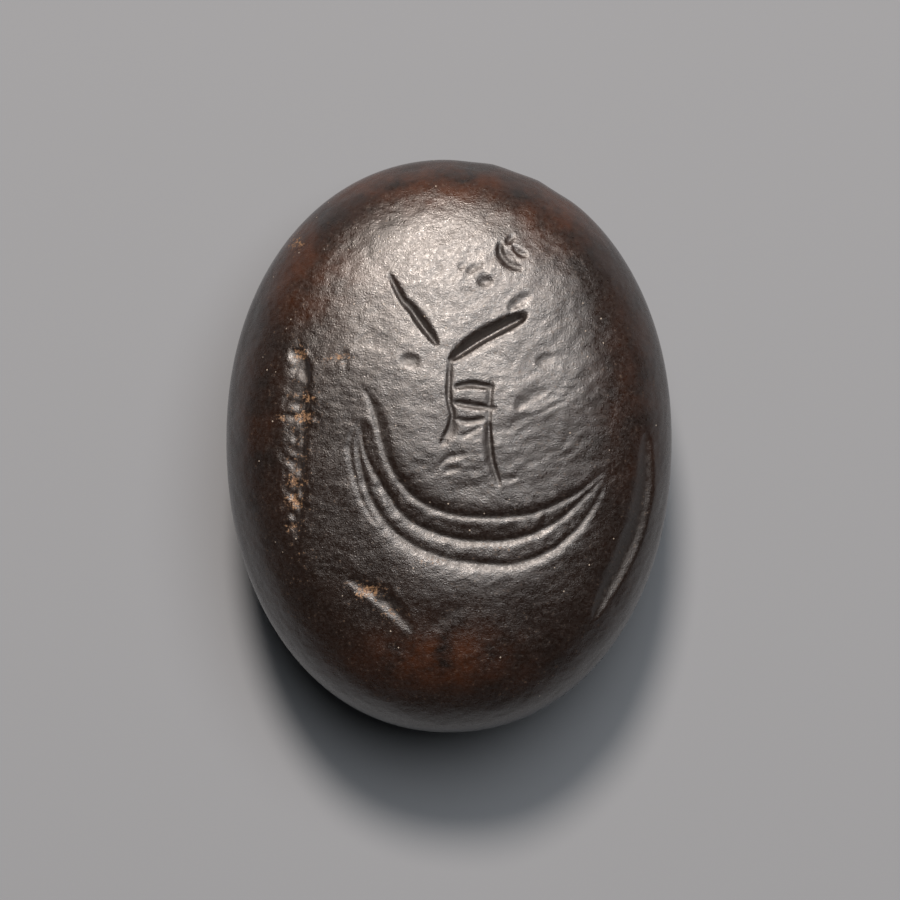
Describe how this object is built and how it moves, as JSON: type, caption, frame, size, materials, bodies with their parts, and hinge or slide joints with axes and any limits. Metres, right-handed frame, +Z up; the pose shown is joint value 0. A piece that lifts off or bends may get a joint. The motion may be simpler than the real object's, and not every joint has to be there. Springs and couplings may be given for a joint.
{
  "type": "stamp seal",
  "caption": "Oval domed stone stamp seal with a crescent and an upright figure cut into its face, for pressing into clay or wax.",
  "frame": {"origin": "middle of the underside, on the small flat spot that the seal rests on", "axes": "+Z up out of the cut face, +Y along the seal towards the top of the design, +X to the right of the design"},
  "size_m": [0.0172, 0.022, 0.01],
  "materials": {
    "stone": "polished satin, dark brown iron-rich stone"
  },
  "bodies": {
    "root": {"seal_stone": "stone"}
  },
  "joints": []
}
